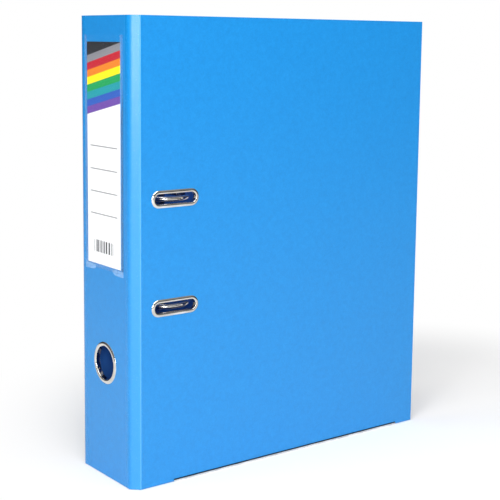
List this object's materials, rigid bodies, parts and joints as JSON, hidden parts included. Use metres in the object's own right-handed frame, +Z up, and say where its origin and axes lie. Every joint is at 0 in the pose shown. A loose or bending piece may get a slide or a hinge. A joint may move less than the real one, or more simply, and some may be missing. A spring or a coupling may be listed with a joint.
{
  "type": "lever arch file",
  "caption": "Upright lever arch file: coloured board covers on creased hinges, spine with label pocket and finger ring, slotted front cover, and an arch mechanism inside.",
  "frame": {"origin": "middle of the footprint, on the surface the closed file stands on", "axes": "+Z up along the height; -X out of the spine; -Y out of the front cover; +Y out of the back cover"},
  "size_m": [0.2838, 0.0796, 0.345],
  "materials": {
    "covering": "coloured film over board, fine grain",
    "hinge": "creased film strip, a little lighter",
    "greyboard": "raw grey millboard",
    "lining": "coloured paper lining",
    "nickel": "bright nickel plate on pressed steel",
    "protector": "nickel-plated strip",
    "film": "clear film",
    "card": "printed white card",
    "plated_wire": "bright nickel plate on drawn wire",
    "plated_sheet": "nickel-plated sheet steel",
    "rivet": "nickel-plated rivet",
    "pin": "turned steel",
    "spring_steel": "oiled spring wire",
    "bush": "black moulded plastic",
    "roller": "white moulded nylon"
  },
  "bodies": {
    "back_cover": {"back_board": "greyboard", "back_covering": "covering", "back_lining": "lining", "back_edge_protector": "protector", "base_plate": "plated_sheet", "rivet_1": "rivet", "rivet_2": "rivet", "rivet_3": "rivet", "rivet_4": "rivet", "post_lower": "plated_wire", "post_upper": "plated_wire", "lever_axle": "pin"},
    "back_hinge": {"back_hinge_strip": "hinge"},
    "spine": {"spine_board": "greyboard", "spine_covering": "covering", "spine_lining": "lining", "finger_ring": "nickel", "ring_washer": "nickel", "label_pocket": "film", "label_card": "card"},
    "front_hinge": {"front_hinge_strip": "hinge"},
    "front_cover": {"front_board": "greyboard", "front_covering": "covering", "front_lining": "lining", "front_edge_protector": "protector", "slot_eyelet_lower": "nickel", "slot_eyelet_upper": "nickel", "slot_backing_lower": "nickel", "slot_backing_upper": "nickel"},
    "arch": {"arch_wire": "plated_wire", "torsion_spring": "spring_steel"},
    "lever": {"lever": "plated_sheet", "roller_pin": "pin"},
    "roller": {"roller": "roller"},
    "compressor": {"compressor_bar": "plated_sheet", "compressor_bush_lower": "bush", "compressor_bush_upper": "bush"}
  },
  "joints": [
    {"name": "back_fold", "type": "hinge", "parent": "back_cover", "child": "back_hinge", "pos_m": [-0.1351, 0.039, 0], "axis": [0, 0, -1], "range_deg": [0, 45]},
    {"name": "spine_fold", "type": "hinge", "parent": "back_hinge", "child": "spine", "pos_m": [-0.1411, 0.033, 0], "axis": [0, 0, -1], "range_deg": [0, 45]},
    {"name": "front_fold", "type": "hinge", "parent": "spine", "child": "front_hinge", "pos_m": [-0.1411, -0.033, 0], "axis": [0, 0, -1], "range_deg": [0, 90]},
    {"name": "cover_fold", "type": "hinge", "parent": "front_hinge", "child": "front_cover", "pos_m": [-0.1351, -0.039, 0], "axis": [0, 0, -1], "range_deg": [0, 90]},
    {"name": "lever_pivot", "type": "hinge", "parent": "back_cover", "child": "lever", "pos_m": [-0.1016, 0.0256, 0.1945], "axis": [-1, 0, 0], "range_deg": [0, 90]},
    {"name": "arch_pivot", "type": "hinge", "parent": "back_cover", "child": "arch", "pos_m": [-0.1131, 0.0316, 0.1725], "axis": [0, 0, -1], "range_deg": [0, 23], "deforming": ["torsion_spring"]},
    {"name": "roller_spin", "type": "hinge", "parent": "lever", "child": "roller", "pos_m": [-0.1016, 0.02625, 0.1795], "axis": [1, 0, 0], "continuous": true},
    {"name": "compressor_slide", "type": "slide", "parent": "back_cover", "child": "compressor", "axis": [0, -1, 0], "range_m": [0, 0.034]}
  ],
  "couplings": [
    {"joint": "spine_fold", "follows": "back_fold", "ratio": 1},
    {"joint": "cover_fold", "follows": "front_fold", "ratio": 1},
    {"joint": "arch_pivot", "follows": "lever_pivot", "ratio": 0.2555}
  ]
}
